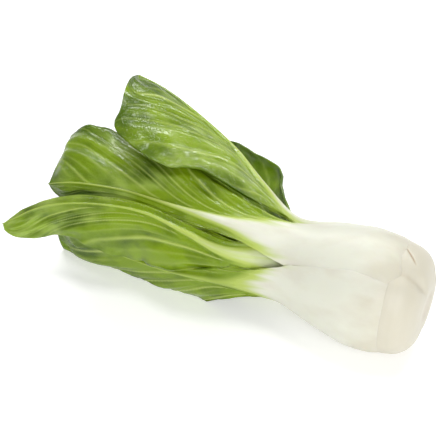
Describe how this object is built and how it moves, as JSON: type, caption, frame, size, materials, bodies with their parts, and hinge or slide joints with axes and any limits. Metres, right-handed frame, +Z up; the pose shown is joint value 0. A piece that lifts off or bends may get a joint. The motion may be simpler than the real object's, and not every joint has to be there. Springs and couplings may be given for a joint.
{
  "type": "bok choy",
  "caption": "Whole head of bok choy lying on its side: a short crown, thick white overlapping stalks and waved green blades with raised veins.",
  "frame": {"origin": "on the table, under the middle of the head's bounding box", "axes": "+X along the head towards the cut butt, leaf tips towards -X; +Z up from the table; -Y is the side whose leaf lies nearest the viewer"},
  "size_m": [0.2092, 0.1113, 0.0812],
  "materials": {
    "crown": "satin",
    "stalk": "satin",
    "blade": "satin"
  },
  "bodies": {
    "root": {"crown": "crown", "leaf_01_blade": "blade", "leaf_01_stalk": "stalk", "leaf_02_blade": "blade", "leaf_02_stalk": "stalk", "leaf_03_blade": "blade", "leaf_03_stalk": "stalk", "leaf_04_blade": "blade", "leaf_04_stalk": "stalk", "leaf_05_blade": "blade", "leaf_05_stalk": "stalk", "leaf_06_blade": "blade", "leaf_06_stalk": "stalk", "leaf_07_blade": "blade", "leaf_07_stalk": "stalk", "leaf_08_blade": "blade", "leaf_08_stalk": "stalk", "leaf_09_blade": "blade", "leaf_09_stalk": "stalk", "leaf_10_blade": "blade", "leaf_10_stalk": "stalk", "leaf_11_blade": "blade", "leaf_11_stalk": "stalk"}
  },
  "joints": []
}
